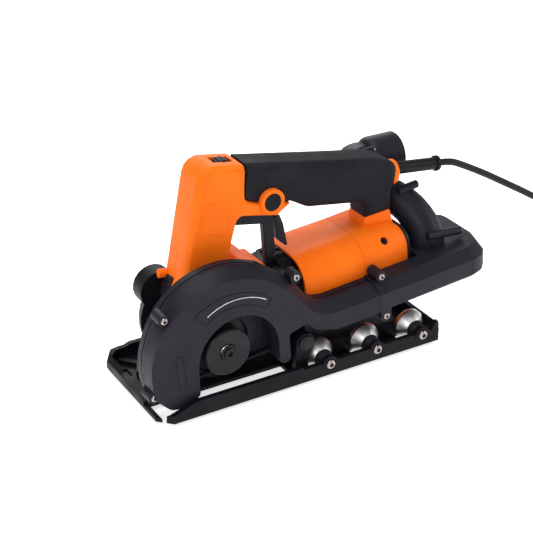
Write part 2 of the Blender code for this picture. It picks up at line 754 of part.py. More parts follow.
def make_spindle_set(hub, steel, bright):
    """What turns with the blades: its parts are laid out from the spindle's own axis."""
    shaft = [(14, 0), (14, SPINDLE_R - 0.8), (14.8, SPINDLE_R), (120.8, SPINDLE_R), (120.8, 0)]
    bolt_hole = pin(0, 0, 10, 31, BOLT_HOLE_R, 12)
    part("spindle", turned(shaft, (0, 0, 0), segments=16), bright, hub, (CUT, [bolt_hole]))
    bore = SPINDLE_R + GAP
    flange = [(12.6, bore + 1), (12.6, 13), (11.8, 15), (11.8, 24.5), (13.3, 26), (17.1, 26)]
    flange += [(17.1, bore), (14, bore)]
    part("outer_flange", turned(flange, (0, 0, 0), segments=28), steel, hub)
    part("spacer_sleeve", ring((0, 17.4, 0), (0, 25.7, 0), bore, SLEEVE_R, 18), steel, hub)
    seat = [(27, bore), (27, SLEEVE_R + 0.6), (26, SLEEVE_R + 0.6), (26, 24), (31, 24), (31, bore)]
    part("inner_flange", turned(seat, (0, 0, 0), segments=22), steel, hub)
    shank = turned([(11, 0), (11, BOLT_R), (29, BOLT_R), (29, 0)], (0, 0, 0), segments=12)
    part("flange_bolt", slab(hexagon(0, 0, 7.0), 8.6, 12.3), bright, hub, (JOIN, [shank]))
    body = ring((0, 60, 0), (0, 68, 0), bore, 32, 20)
    teeth = []
    for k in range(CROWN_TEETH):
        a = 2 * pi * k / CROWN_TEETH
        tooth = []
        for r, half in ((22, 1.3), (31.5, 2.1)):
            for side in (-1, 1):
                tooth.append((r * cos(a) - side * half * sin(a), r * sin(a) + side * half * cos(a)))
        tooth = [tooth[0], tooth[1], tooth[3], tooth[2]]
        low = across(shifted(tooth, 0.4), 67.5)
        teeth.append(loft([low, across(shifted(tooth, -0.5), 72.0)]))
    part("crown_gear", body, steel, hub, (JOIN, teeth))


def make_bearings(frame, bright):
    seats = (
        ("spindle_bearing_near", SPINDLE_U, 44.0, 54.0, BEARING_R),
        ("spindle_bearing_far", SPINDLE_U, 111.0, 120.0, BEARING_R),
    )
    for name, u, near, far, outer in seats:
        race = ring((u, near, AXIS_W), (u, far, AXIS_W), SPINDLE_R + GAP, outer, 16)
        part(name, race, bright, frame)
    for name, low, high, outer in (
        ("motor_bearing_front", 8.0, 17.0, BEARING_R),
        ("motor_bearing_rear", 145.0, 153.0, 11.0),
    ):
        race = ring((low, MOTOR_Y, AXIS_W), (high, MOTOR_Y, AXIS_W), SHAFT_R + GAP, outer, 16)
        part(name, race, bright, frame)


# ---------------------------------------------------------------- motor


def make_flange_ring(frame, cast):
    section = toothed(MOTOR_Y, AXIS_W, FINS, FLANGE_RING_R - FIN_DEEP, FLANGE_RING_R)
    low, high = FLANGE_RING_U
    solid = loft([along(section, low), along(section, high)])
    bore = rod((low - 1, MOTOR_Y, AXIS_W), (high + 1, MOTOR_Y, AXIS_W), BEARING_R + GAP, 16)
    lug_relief = pin(0, 0, 100, 140, LUG_R + 4, 16)
    part("motor_flange_ring", solid, cast, frame, (CUT, [bore, lug_relief]))


def tube_loft(sections, wall, start_past, end_past):
    """Sections (u, half Y, half W, corner) as an outer solid, and the bore inside it."""
    outer = [along(round_square(y, w, c), u) for u, y, w, c in sections]
    bore = []
    for k, (u, y, w, c) in enumerate(sections):
        shift = -start_past if k == 0 else end_past if k == len(sections) - 1 else 0
        bore.append(along(round_square(y - wall, w - wall, c - wall), u + shift))
    return loft(outer), loft(bore)


def make_motor_housing(frame, orange):
    low, high = MOTOR_U
    size = (MOTOR_HALF_Y, MOTOR_HALF_W, MOTOR_CORNER)
    outer, bore = tube_loft([(low, *size), (high, *size)], MOTOR_WALL, 1, 1)
    part("motor_housing", outer, orange, frame, (CUT, [bore]))


def radial(u, side, r):
    """A point beside the motor axis, up and towards the near side, or the opposite for side -1."""
    return (u, MOTOR_Y - side * r * cos(radians(45)), AXIS_W + side * r * sin(radians(45)))


def make_rear_cover(frame, orange, black, carbon):
    low, high = REAR_COVER_U
    sections = [
        (low, MOTOR_HALF_Y, MOTOR_HALF_W, MOTOR_CORNER),
        (low + 32, MOTOR_HALF_Y, MOTOR_HALF_W, MOTOR_CORNER - 2),
        (high - 8, 44, 46, 24),
        (high, 40, 41, 21),
    ]
    outer, bore = tube_loft(sections, MOTOR_WALL, 1, -3.5)
    socket = slab(rounded([(113, 66, 0), (153, 66, 0), (149, 84.7, 2), (117, 84.7, 2)]), 70, 100)
    opening = rod((high - 8, MOTOR_Y, AXIS_W), (high + 1, MOTOR_Y, AXIS_W), 26, 18)
    u = BRUSH_U
    holes = [rod(radial(u, side, 46), radial(u, side, 64), 4.6, 16) for side in (1, -1)]
    part("rear_cover", outer, orange, frame, (JOIN, [socket]), (CUT, [bore, opening] + holes))
    for name, side in (("near", 1), ("far", -1)):
        cap = ring(radial(u, side, 49), radial(u, side, 54), 1.8, 4.3, 14)
        back = rod(radial(u, side, 50), radial(u, side, 52), 3.0, 14)
        part(f"brush_cap_{name}", cap, black, frame, (JOIN, [back]))
        brush = rod(radial(u, side, 13.4), radial(u, side, 34), 3.6, 8)
        part(f"carbon_brush_{name}", brush, carbon, frame)
    low, high = END_CAP_U
    plate = loft([along(round_square(41, 42, 22), low), along(round_square(39, 40, 20), high)])
    seat = ring((142, MOTOR_Y, AXIS_W), (156, MOTOR_Y, AXIS_W), 11 + GAP, 14.5, 16)
    part("rear_end_cap", plate, black, frame, (JOIN, [seat]))


def make_armature(hub, steel, copper, black, bright):
    """What turns with the motor shaft, laid out from the motor's own axis."""
    part("armature_shaft", rod((-52, 0, 0), (152.5, 0, 0), SHAFT_R, 12), bright, hub)
    bore = SHAFT_R + GAP
    core = toothed(0, 0, 12, 21.5, 24.5)
    holes = [rod((30, 0, 0), (90, 0, 0), bore, 12)]
    part("armature_core", loft([along(core, 40), along(core, 84)]), steel, hub, (CUT, holes))
    part("commutator", ring((116, 0, 0), (134, 0, 0), bore, 13, 16), copper, hub)
    blades = toothed(0, 0, 14, 24, 36)
    fan = loft([along(blades, 23), along(blades, 33)])
    part("cooling_fan", fan, black, hub, (CUT, [rod((20, 0, 0), (36, 0, 0), bore, 12)]))
    gear = toothed(0, 0, PINION_TEETH, 9.5, 13.6)
    part("drive_pinion", loft([along(gear, -68.5), along(gear, -52.3)]), steel, hub)


def make_stator(frame, iron):
    start = (36, MOTOR_Y, AXIS_W)
    part("stator", ring(start, (88, MOTOR_Y, AXIS_W), 26, 42.8, 24), iron, frame)


# ---------------------------------------------------------------- handle


def column_outline():
    """The orange front column with the arm that runs back under the grip."""
    outline = rounded(
        [
            (-116.2, 56.5, 0),
            (-75.2, 203, 18),
            (-60, 203, 0),
            (-25, 194, 4),
            (-24, 186, 0),
            (-30, 156, 8),
            (-15, 148.3, 8),
            (23.5, 136.5, 0),
            (12, 130.5, 0),
            (6, 127, 5),
            (-39, 141, 7),
            (-48, 117, 0),
            (-53, 99, 0),
            (-61.2, 56.5, 0),
        ]
    )
    return outline + arc(SPINDLE_U, AXIS_W, GEARBOX_R + 2, 60, 118)


def column_hollow():
    """The room inside the column and the arm."""
    return rounded(
        [
            (-108.5, 67, 0),
            (-71.8, 198.5, 14),
            (-60.5, 198.5, 0),
            (-28.5, 190.5, 0),
            (-27.5, 186, 0),
            (-33.5, 156, 6),
            (-17, 145, 4),
            (12, 136.4, 0),
            (5, 130.6, 0),
            (-41, 144.8, 5),
            (-51.5, 117, 0),
            (-56.5, 99, 0),
            (-63, 67, 0),
        ]
    )


def grip_outline():
    """The black grip with its rear post."""
    return rounded(
        [
            (-22.8, 193.4, 0),
            (-23.6, 186, 0),
            (-29.6, 156.3, 8),
            (-14.8, 148.7, 8),
            (24.5, 136.9, 0),
            (46, 121, 14),
            (100, 107.5, 10),
            (118, 104, 12),
            (117, 85, 0),
            (150, 85, 0),
            (151, 108, 10),
            (156.4, 113.5, 0),
            (161.3, 137.5, 12),
            (132, 152, 30),
            (98, 160.4, 40),
        ]
    )


def column_roundness(outline):
    """How far each point of the column's outline rounds over: much at its front and top, little elsewhere."""
    return [COLUMN_ROUND if w > 180 or u < -77 else 2.0 for u, w in outline]


def grip_roundness(outline):
    """How far each point of the grip's outline rounds over: little along its seam with the arm."""
    return [1.0 if u < 25 and w < 190 else GRIP_ROUND for u, w in outline]


def rounded_rings(outline, amounts, y, way):
    """Rings of an outline from its side face at Y inwards, so that its edge rounds over."""
    rings = []
    for share in (0.0, 0.16, 0.4, 0.7, 1.0):
        left = 1 - sqrt(1 - (1 - share) ** 2)
        inner = shifted(outline, [-amount * left for amount in amounts])
        rings.append(across(inner, y - way * COLUMN_ROUND * share))
    return rings


def make_handle(frame, orange, rubber):
    halves = (("near", HANDLE_Y[0], GRIP_Y[0], -1), ("far", HANDLE_Y[1], GRIP_Y[1], 1))
    column = column_outline()
    grip = grip_outline()
    for name, column_y, grip_y, way in halves:
        split = SPLIT_Y + way * GAP / 2
        rings = rounded_rings(column, column_roundness(column), column_y, way)
        rings.append(across(column, split))
        start = column_y - way * COLUMN_ROUND
        hollow = slab(column_hollow(), start, split - way)
        dial_slot = block((DIAL[0] - 11, DIAL[0] + 11), (77.5, 92.5), (180, 210))
        joins, cuts = [], [hollow, dial_slot]
        if name == "near":
            joins.append(pin(*LOCK, 59.8, 74, LOCK_RING_R, 20))
            cuts.append(pin(*LOCK, 55, 80.5, LOCK_R + GAP, 18))
        part(f"handle_shell_{name}", loft(rings), orange, frame, (JOIN, joins), (CUT, cuts))
        rings = rounded_rings(grip, grip_roundness(grip), grip_y, way)
        rings.append(across(grip, split))
        cuts = [slab(shifted(grip, -5.0), grip_y - way * 6, split - way)]
        if name == "near":
            cuts.append(pin(*LOCK, 55, 80, LOCK_RING_R + GAP, 20))
        part(f"grip_half_{name}", loft(rings), rubber, frame, (CUT, cuts))


def make_controls(frame, trigger_hub, dial_hub, black, rubber):
    """What a hand moves: lock button, trigger and speed dial, with the switch that they work."""
    button = [(58.6, 0), (58.6, LOCK_R - 1.2), (59.6, LOCK_R), (76, LOCK_R), (76, 0)]
    at = (LOCK[0], 0, LOCK[1])
    part("lock_button", turned(button, at, segments=18), rubber, frame, axis=(LOCK[0], 62, LOCK[1]))
    blade = [(9.0, 120.5), (10.6, 92), (19.5, 82.3), (21.6, 83.2), (18.5, 109), (15, 120.5)]
    local = [(u - TRIGGER_PIVOT[0], w - TRIGGER_PIVOT[1]) for u, w in blade]
    part("trigger", slab(rounded([(u, w, 1.2) for u, w in local]), 74, 96), black, trigger_hub)
    part("switch_body", block((33, 68), (75, 95), (139, 152)), black, frame)
    wheel = toothed(0, 0, 14, DIAL_R - 0.7, DIAL_R)
    part("speed_dial", slab(wheel, 79, 91), black, dial_hub)


def make_support_post(frame, black):
    """A black bar under the arm that turns down and stands on the gearbox."""
    outline = rounded(
        [
            (-38.6, 125.2, 0),
            (-39, 138.5, 4),
            (5, 125.8, 2),
            (7.6, 122, 2),
            (7.6, 77, 0),
            (4.2, 74, 0),
            (4.2, 66.3, 0),
            (-4.6, 66.3, 0),
            (-4.6, 115.6, 2.5),
        ]
    )
    part("support_post", slab(outline, *POST_Y), black, frame)


# ---------------------------------------------------------------- cord


def make_relief(frame, rubber, orange):
    start = Vector(RELIEF_FROM)
    length = (Vector(RELIEF_TO) - start).length
    profile = [(0, 0), (0, 7.4), (6, 7.2), (length - 5, 7.0), (length - 4.4, 8.8)]
    profile += [(length - 0.6, 8.8), (length, 8.0), (length, 0)]
    part("cord_relief", turned(profile, start, RELIEF_TO, 16), rubber, frame)
    back = (start - Vector(RELIEF_TO)).normalized()
    middle = start - Vector((0, 0, COLLAR_DROP))
    middle += back * (start - middle).dot(back)
    collar = ring(middle + back * (GAP + COLLAR_LONG), middle + back * GAP, CORD_R, COLLAR_R, 24)
    part("cord_collar", collar, orange, frame)


def make_cord(frame, rubber):
    """The free cord as a tube, then the room that its coil takes up."""
    curve = bpy.data.curves.new("power_cord", "CURVE")
    curve.dimensions = "3D"
    curve.bevel_depth = CORD_R * MM
    curve.bevel_resolution = 2
    curve.use_fill_caps = True
    line = smooth_line(CORD_ROUTE, 3)
    spline = curve.splines.new("POLY")
    spline.points.add(len(line) - 1)
    for point, place in zip(spline.points, line):
        point.co = (*(place * MM), 1)
    curve.materials.append(rubber)
    cord = bpy.data.objects.new("power_cord", curve)
    bpy.context.scene.collection.objects.link(cord)
    cord.parent = frame
    low = -BASE_AT[2]
    coil = ring(
        (*COIL_AT, low),
        (*COIL_AT, low + COIL_HIGH),
        COIL_MEAN_R - COIL_WIDE / 2,
        COIL_MEAN_R + COIL_WIDE / 2,
        32,
    )
    part("cord_coil", coil, rubber, frame)


def make_plug(frame, rubber):
    """A two-pin plug that leans on its rim beside the coil."""
    start = Vector(PLUG_FROM)
    way = Vector((cos(PLUG_DROP), 0, -sin(PLUG_DROP)))
    end = start + way * PLUG_LONG
    profile = [(0, 0), (0, 5.0), (16, 6.5), (20, 13.5), (40, 14.5), (43, PLUG_R)]
    profile += [(PLUG_LONG - 1, PLUG_R), (PLUG_LONG, PLUG_R - 1), (PLUG_LONG, 0)]
    pins = []
    for side in (-0.5, 0.5):
        root = end + Vector((0, side * PLUG_PIN_APART, 0))
        pins.append(rod(root - way * 4, root + way * PLUG_PIN_LONG, PLUG_PIN_R, 10))
    part("plug", turned(profile, start, end, 20), rubber, frame, (JOIN, pins))


# ---------------------------------------------------------------- assembly


def clear_scene():
    for thing in list(bpy.data.objects):
        bpy.data.objects.remove(thing)


def main():
    clear_scene()
    orange = paint("orange_plastic", (1.0, 0.205, 0.013), 0.38)
    black = paint("black_plastic", (0.028, 0.028, 0.032), 0.5)
    cast = paint("black_cast", (0.025, 0.025, 0.028), 0.55, 0.2)
    rubber = paint("soft_grip", (0.018, 0.018, 0.02), 0.75)
    steel = paint("polished_steel", (0.62, 0.6, 0.58), 0.2, 1.0)
    nickel = paint("nickel_fastener", (0.66, 0.6, 0.57), 0.25, 1.0)
    dark_steel = paint("dark_steel", (0.09, 0.09, 0.1), 0.42, 0.8)
    copper = paint("copper", (0.72, 0.33, 0.2), 0.35, 1.0)
    carbon = paint("carbon", (0.02, 0.02, 0.02), 0.8)

    base = empty("base_frame", BASE_AT)
    unit = empty("tilt_pivot", (PIVOT_X, 0, PIVOT_Z), base, TILT)
    spindle_axis = empty("spindle_axis", (SPINDLE_U, 0, AXIS_W), unit)
    motor_axis = empty("motor_axis", (0, MOTOR_Y, AXIS_W), unit)
    trigger_axis = empty("trigger_axis", (TRIGGER_PIVOT[0], 0, TRIGGER_PIVOT[1]), unit)
    dial_axis = empty("dial_axis", (DIAL[0], 0, DIAL[1]), unit)
    knob_axis = empty("knob_axis", (PIVOT_X, 0, PIVOT_Z), base)

    make_base(base, cast)
    make_glide_shoe(base, black)
    for number, x in enumerate(ROLLER_X, 1):
        make_near_roller(number, x, base, steel, nickel)
    for number, x in enumerate(FAR_ROLLER_X, 1):
        make_far_roller(number, x, base, steel)
    make_pivot(base, knob_axis, dark_steel, black)

    make_guard(unit, black)
    make_tail_duct(unit, black)
    make_dust_pipe(unit, black)
    make_dust_port(unit, black)
    make_gearbox(unit, cast, orange)
    make_bearings(unit, steel)
    make_spindle_set(spindle_axis, dark_steel, steel)
    make_flange_ring(unit, cast)
    make_motor_housing(unit, orange)
    make_rear_cover(unit, orange, black, carbon)
    make_armature(motor_axis, dark_steel, copper, black, steel)
    make_stator(unit, dark_steel)
    make_handle(unit, orange, rubber)
    make_controls(unit, trigger_axis, dial_axis, black, rubber)
    make_support_post(unit, black)
    make_relief(unit, rubber, orange)

    make_cord(base, rubber)
    make_plug(base, rubber)


main()
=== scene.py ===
"""Wall chaser on its base plate, with its lead coiled behind it, ready to render and to pose.

Sizes in this script are in millimetres, and become metres when a mesh is made. Lights and the floor are set in
metres. The base plate is laid out from its own front near corner, with X along the tool, Y across it and Z up. The
motor unit is laid out from its tilt pivot, with U along the motor, Y across and W up, and it leans tail up by TILT.
"""

import json
from math import ceil, cos, pi, radians, sin, sqrt

import bmesh
import bpy
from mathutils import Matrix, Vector

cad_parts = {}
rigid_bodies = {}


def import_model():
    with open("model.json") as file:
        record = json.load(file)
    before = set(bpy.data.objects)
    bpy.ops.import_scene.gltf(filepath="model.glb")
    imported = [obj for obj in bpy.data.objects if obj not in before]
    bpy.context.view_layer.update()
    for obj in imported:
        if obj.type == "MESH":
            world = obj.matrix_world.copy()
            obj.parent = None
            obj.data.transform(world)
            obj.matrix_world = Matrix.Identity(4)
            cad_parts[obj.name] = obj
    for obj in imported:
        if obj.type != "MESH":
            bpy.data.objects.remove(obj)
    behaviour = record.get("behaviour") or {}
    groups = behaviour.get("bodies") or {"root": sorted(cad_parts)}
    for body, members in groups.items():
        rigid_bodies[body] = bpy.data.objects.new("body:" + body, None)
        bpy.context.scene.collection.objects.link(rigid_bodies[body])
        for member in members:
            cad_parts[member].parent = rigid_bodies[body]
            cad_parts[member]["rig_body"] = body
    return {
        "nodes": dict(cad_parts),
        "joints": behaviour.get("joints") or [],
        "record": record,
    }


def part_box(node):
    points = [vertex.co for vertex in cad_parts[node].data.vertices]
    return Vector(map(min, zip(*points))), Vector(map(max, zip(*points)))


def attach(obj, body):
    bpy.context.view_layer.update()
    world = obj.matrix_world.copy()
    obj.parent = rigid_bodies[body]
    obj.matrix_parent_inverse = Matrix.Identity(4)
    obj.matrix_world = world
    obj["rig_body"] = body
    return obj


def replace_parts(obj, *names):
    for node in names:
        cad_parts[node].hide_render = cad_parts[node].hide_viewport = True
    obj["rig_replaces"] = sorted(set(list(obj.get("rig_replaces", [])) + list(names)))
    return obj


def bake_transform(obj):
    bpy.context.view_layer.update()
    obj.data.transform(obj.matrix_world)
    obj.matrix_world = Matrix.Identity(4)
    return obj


MM = 0.001
TILT = radians(4.84)

CAMERA_FROM_BASE = (-497.4, -1056.1, 800.0)
CAMERA_TURN = (radians(62.04), 0, radians(-30.33))
CAMERA_LENS = 95.03
CAMERA_SENSOR = 36

WHITE = (1, 1, 1)
SKY_STRENGTH = 0.5
# Name, place, the point it looks at, its two sizes in metres, and its power in watts.
LIGHTS = (
    ("top", (-0.25, 0.1, 1.5), (0, 0, 0.1), (1.3, 1.0), 14),
    ("front", (-1.3, -1.5, 1.1), (0, 0, 0.1), (0.9, 0.9), 12),
    ("right", (1.6, -0.7, 0.8), (0, 0, 0.1), (0.8, 1.0), 8),
    ("back", (0.5, 1.6, 1.0), (0, 0, 0.12), (1.2, 0.8), 12),
)
FLOOR_REACH = 30
FLOOR_GLOW = 0.6

# The lead and its coil, which lies in layers. RISE_TURNS is the part of a turn in which it climbs to the next one.
CORD_R = 4.0
CORD_SIDES = 14
COIL_AT = (722.0, 42.5)
COIL_OUTER_R = 60.45
COIL_INNER_R = 37.95
LAYER_TURNS = 2.7375
RISE_TURNS = 0.35
LAYER_Z = (0.1, 8.3, 16.5, 24.7)
TURN_POINTS = 22
TIE_ANGLE = 150
TIE_THICK = 1.2
TIE_WIDE = 18.0
TIE_CORNER = 4
TIE_GAP = 0.3
PLUG_DROP = radians(10)
PLUG_LENGTH = 50

# The round bosses of the base plate's near rail stand this far outside of its layout.
RAIL_BOSS = 0.6

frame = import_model()
nodes = frame["nodes"]
scene = bpy.context.scene
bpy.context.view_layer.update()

BASE_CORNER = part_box("base_plate")[0] + Vector((0, RAIL_BOSS * MM, 0))
PIVOT = Vector(frame["joints"][0]["pos_m"])


# ---------------------------------------------------------------- places


def base(x, y, z):
    """A place in the base plate's layout, in metres in the shared frame."""
    return BASE_CORNER + Vector((x, y, z)) * MM


def unit(u, y, w):
    """A place in the motor unit's layout, in metres in the shared frame."""
    x = u * cos(TILT) - w * sin(TILT)
    z = u * sin(TILT) + w * cos(TILT)
    return Vector((PIVOT.x, BASE_CORNER.y, PIVOT.z)) + Vector((x, y, z)) * MM


# ---------------------------------------------------------------- camera and light


def add_camera():
    data = bpy.data.cameras.new("camera")
    data.lens = CAMERA_LENS
    data.sensor_width = CAMERA_SENSOR
    camera = bpy.data.objects.new("camera", data)
    camera.location = BASE_CORNER + Vector(CAMERA_FROM_BASE) * MM
    camera.rotation_euler = CAMERA_TURN
    scene.collection.objects.link(camera)
    scene.camera = camera
    bpy.context.view_layer.update()


def area_light(name, at, toward, size, power):
    data = bpy.data.lights.new(name, "AREA")
    data.shape = "RECTANGLE"
    data.size, data.size_y = size
    data.energy = power
    data.color = WHITE
    lamp = bpy.data.objects.new(name, data)
    lamp.location = at
    lamp.rotation_euler = (Vector(toward) - Vector(at)).to_track_quat("-Z", "Y").to_euler()
    scene.collection.objects.link(lamp)


def add_light():
    world = bpy.data.worlds.new("studio")
    world.use_nodes = True
    background = world.node_tree.nodes["Background"]
    background.inputs["Color"].default_value = (*WHITE, 1)
    background.inputs["Strength"].default_value = SKY_STRENGTH
    scene.world = world
    for row in LIGHTS:
        area_light(*row)
    scene.view_settings.view_transform = "Standard"


# ---------------------------------------------------------------- materials


def link(tree, a, b):
    tree.links.new(a, b)


class Surface:
    """A procedural material that starts as one plain shader, with steps that add detail."""

    def __init__(self, name, colour, roughness, metallic=0.0, **sockets):
        self.material = bpy.data.materials.new(name)
        self.material.use_nodes = True
        self.tree = self.material.node_tree
        self.shader = self.tree.nodes["Principled BSDF"]
        self.shader.inputs["Base Color"].default_value = (*colour, 1)
        self.shader.inputs["Roughness"].default_value = roughness
        self.shader.inputs["Metallic"].default_value = metallic
        for socket, value in sockets.items():
            self.shader.inputs[socket.replace("_", " ")].default_value = value
        self.place = self.tree.nodes.new("ShaderNodeTexCoord").outputs["Object"]
        self.bump = None

    def node(self, kind, **values):
        made = self.tree.nodes.new(kind)
        for key, value in values.items():
            if key in made.inputs:
                made.inputs[key].default_value = value
            else:
                setattr(made, key, value)
        return made

    def noise(self, scale, detail=2.0):
        made = self.node("ShaderNodeTexNoise", Scale=scale, Detail=detail)
        link(self.tree, self.place, made.inputs["Vector"])
        return made.outputs["Fac"]

    def cells(self, scale):
        made = self.node("ShaderNodeTexVoronoi", Scale=scale)
        link(self.tree, self.place, made.inputs["Vector"])
        return made.outputs["Distance"]

    def ramp(self, value, low, high, out_low, out_high):
        made = self.node("ShaderNodeMapRange")
        limits = {"From Min": low, "From Max": high, "To Min": out_low, "To Max": out_high}
        for socket, number in limits.items():
            made.inputs[socket].default_value = number
        link(self.tree, value, made.inputs["Value"])
        return made.outputs["Result"]

    def colours(self, value, low, high, first, second):
        """Goes from one colour to another as the value goes from low to high."""
        made = self.node("ShaderNodeValToRGB")
        made.color_ramp.elements[0].position = low
        made.color_ramp.elements[1].position = high
        made.color_ramp.elements[0].color = (*first, 1)
        made.color_ramp.elements[1].color = (*second, 1)
        link(self.tree, value, made.inputs["Fac"])
        return made.outputs["Color"]

    def paint(self, colour):
        link(self.tree, colour, self.shader.inputs["Base Color"])

    def roughen(self, value, low, high):
        link(self.tree, self.ramp(value, 0.3, 0.7, low, high), self.shader.inputs["Roughness"])

    def relief(self, height, strength, distance):
        made = self.node("ShaderNodeBump", Strength=strength, Distance=distance)
        link(self.tree, height, made.inputs["Height"])
        if self.bump is not None:
            link(self.tree, self.bump, made.inputs["Normal"])
        self.bump = made.outputs["Normal"]
        link(self.tree, self.bump, self.shader.inputs["Normal"])


def moulded(name, colour, light, roughness, grain=2600, grain_deep=0.00006, level=0.5):
    """Moulded plastic: a fine spark-eroded grain, a faint flow in its colour, and a very slight waviness."""
    made = Surface(name, colour, sum(roughness) / 2, Specular_IOR_Level=level)
    cloud = made.noise(22, 3)
    made.paint(made.colours(cloud, 0.35, 0.7, colour, light))
    made.roughen(made.noise(60, 4), *roughness)
    made.relief(made.noise(grain, 2), 0.35, grain_deep)
    made.relief(made.noise(9, 1), 0.12, 0.0006)
    return made


def coloured(surface, grain, low, high, dark, light):
    """Varies the colour of a surface by a cloudy grain, from dark to light."""
    surface.paint(surface.colours(surface.noise(*grain), low, high, dark, light))


def make_black_finishes():
    """The plain black finishes: powder coat, soft grip, cord sheath, blackened steel and pressed carbon."""
    cast = Surface("black_powder_coat", (0.009, 0.009, 0.011), 0.46, Specular_IOR_Level=0.1)
    coloured(cast, (30, 3), 0.35, 0.7, (0.004, 0.004, 0.006), (0.008, 0.008, 0.011))
    cast.roughen(cast.noise(45, 3), 0.36, 0.54)
    cast.relief(cast.cells(900), 0.25, 0.00012)
    grip = Surface("soft_grip_rubber", (0.011, 0.011, 0.013), 0.7, Specular_IOR_Level=0.13)
    coloured(grip, (35, 3), 0.35, 0.7, (0.007, 0.007, 0.010), (0.011, 0.011, 0.015))
    grip.roughen(grip.noise(50, 3), 0.56, 0.72)
    grip.relief(grip.cells(1500), 0.4, 0.00014)
    cord = Surface("cord_sheath", (0.004, 0.004, 0.005), 0.4, Specular_IOR_Level=0.16)
    coloured(cord, (60, 3), 0.35, 0.7, (0.003, 0.003, 0.004), (0.006, 0.006, 0.008))
    cord.roughen(cord.noise(80, 3), 0.32, 0.46)
    cord.relief(cord.noise(900, 2), 0.3, 0.00008)
    dark = Surface("blackened_steel", (0.012, 0.012, 0.014), 0.4, 0.1, Specular_IOR_Level=0.2)
    coloured(dark, (70, 4), 0.35, 0.75, (0.008, 0.008, 0.010), (0.016, 0.016, 0.018))
    dark.roughen(dark.noise(120, 4), 0.34, 0.5)
    dark.relief(dark.noise(600, 3), 0.25, 0.00007)
    carbon = Surface("pressed_carbon", (0.02, 0.02, 0.02), 0.7)
    coloured(carbon, (200, 3), 0.3, 0.7, (0.014, 0.014, 0.014), (0.03, 0.03, 0.03))
    carbon.relief(carbon.noise(900, 2), 0.3, 0.00006)
    return {"cast_black": cast, "soft_grip": grip, "cord_rubber": cord, "dark_steel": dark, "carbon": carbon}


def make_bright_finishes():
    """The bright metals: turned steel with its marks round the axis, nickel plate and copper."""
    steel = Surface("turned_steel", (0.72, 0.70, 0.71), 0.28, 1.0, Anisotropic=0.35)
    tangent = steel.node("ShaderNodeTangent", direction_type="RADIAL", axis="Y")
    link(steel.tree, tangent.outputs["Tangent"], steel.shader.inputs["Tangent"])
    coloured(steel, (60, 2), 0.3, 0.7, (0.66, 0.64, 0.65), (0.78, 0.76, 0.77))
    steel.roughen(steel.noise(90, 2), 0.3, 0.36)
    nickel = Surface("nickel_plate", (0.72, 0.64, 0.60), 0.2, 1.0)
    coloured(nickel, (260, 3), 0.3, 0.7, (0.30, 0.25, 0.24), (0.50, 0.43, 0.41))
    nickel.roughen(nickel.noise(500, 3), 0.14, 0.32)
    nickel.relief(nickel.noise(900, 3), 0.15, 0.00004)
    copper = Surface("copper_bars", (0.72, 0.33, 0.2), 0.32, 1.0)
    coloured(copper, (150, 3), 0.3, 0.7, (0.60, 0.26, 0.15), (0.80, 0.40, 0.25))
    copper.roughen(copper.noise(200, 3), 0.22, 0.42)
    return {"polished_steel": steel, "fastener_nickel": nickel, "winding_copper": copper}


def make_materials():
    """One material for each finish that the record names."""
    orange = ((0.84, 0.138, 0.004), (0.92, 0.168, 0.007))
    black = ((0.008, 0.008, 0.014), (0.012, 0.012, 0.019))
    grey = ((0.026, 0.026, 0.028), (0.04, 0.04, 0.042))
    surfaces = {
        "housing_orange": moulded("orange_moulding", *orange, (0.38, 0.5), level=0.1),
        "moulded_black": moulded("black_moulding", *black, (0.38, 0.52), 2200, 0.00010, 0.17),
        **make_black_finishes(),
        **make_bright_finishes(),
        "glide_nylon": moulded("glide_nylon", *grey, (0.28, 0.42), 1200),
    }
    return {slot: surface.material for slot, surface in surfaces.items()}


# ---------------------------------------------------------------- meshes

# How the CAD's meshes are cleaned and rounded. The distances are in metres.
WELD = 0.000002
WIDE_WELD = 0.00004
THIN_FACE = 0.00006
FLAT_ANGLE = radians(0.6)
SHARP_ANGLE = radians(32)
BEVEL_SEGMENTS = 3
NORMAL_WEIGHT = 90
FACES_ACROSS = 0.9999


def arc(u, w, r, start, end, step):
    """Points of an arc about (u, w), from one angle in degrees to another."""
    count = max(1, ceil(abs(end - start) / step - 0.001))
    angles = [radians(start + (end - start) * k / count) for k in range(count + 1)]
    return [(u + r * cos(a), w + r * sin(a)) for a in angles]


def made_object(name, points, faces, body, slot, smooth=35, origin=(0, 0, 0)):
    """A new piece from points in metres, in the finish of one slot, riding on a body."""
    mesh = bpy.data.meshes.new(name)
    mesh.from_pydata([tuple(Vector(p) - Vector(origin)) for p in points], [], faces)
    work = bmesh.new()
    work.from_mesh(mesh)
    bmesh.ops.recalc_face_normals(work, faces=work.faces)
    work.to_mesh(mesh)
    work.free()
    made = bpy.data.objects.new(name, mesh)
    made.location = origin
    scene.collection.objects.link(made)
    mesh.shade_smooth()
    mesh.set_sharp_from_angle(angle=radians(smooth))
    mesh.materials.append(MATERIALS[slot])
    if body:
        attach(made, body)
    return made


def across_line(start, end):
    """Three directions: along the line, and two across it."""
    line = (end - start).normalized()
    side = line.cross(Vector((0, 0, 1)))
    if side.length < 0.1:
        side = line.cross(Vector((1, 0, 0)))
    side.normalize()
    return line, side, line.cross(side)


